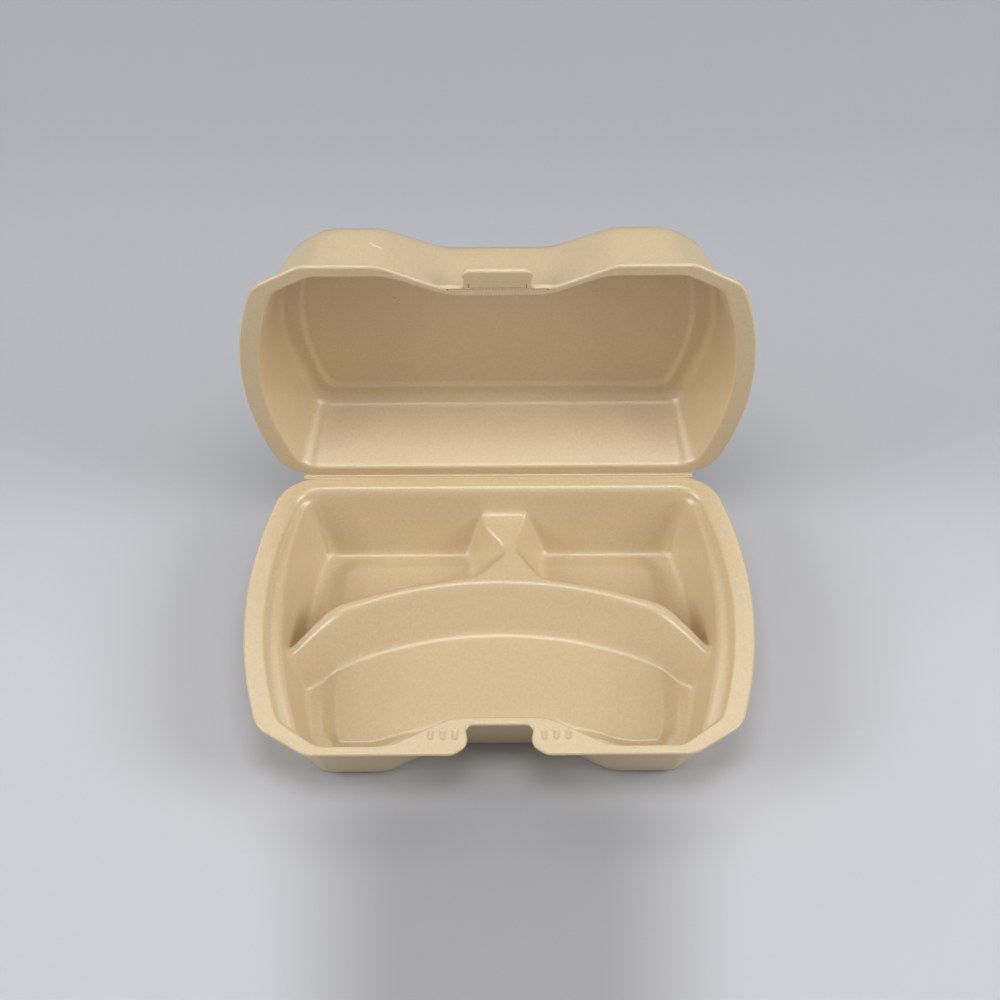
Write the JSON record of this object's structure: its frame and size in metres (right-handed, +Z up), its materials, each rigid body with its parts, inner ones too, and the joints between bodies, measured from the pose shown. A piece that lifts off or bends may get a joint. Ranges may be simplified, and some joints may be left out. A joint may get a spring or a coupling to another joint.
{
  "type": "hinged bento container",
  "caption": "Hinged foam food box with a curved divider, rear compartments, a domed lid on a rear hinge and a fold-down locking tab that drops into a notch.",
  "frame": {"origin": "on the resting plane, under the centre of the open box's bounding box", "axes": "+X along the hinge to the right, front of the box towards -Y, +Z up"},
  "size_m": [0.2404, 0.1974, 0.198],
  "materials": {
    "foam": "fine-grained foam skin, soft sheen"
  },
  "bodies": {
    "base": {"base": "foam"},
    "lid": {"lid": "foam"},
    "lock_tab": {"lock_tab": "foam"}
  },
  "joints": [
    {"name": "lid_hinge", "type": "hinge", "parent": "base", "child": "lid", "pos_m": [0, 0.06059, 0.0394], "axis": [-1, 0, 0], "range_deg": [-89.4, 90]},
    {"name": "tab_crease", "type": "hinge", "parent": "lid", "child": "lock_tab", "pos_m": [0, 0.05919, 0.18274], "axis": [1, 0, 0], "range_deg": [0, 80]}
  ]
}
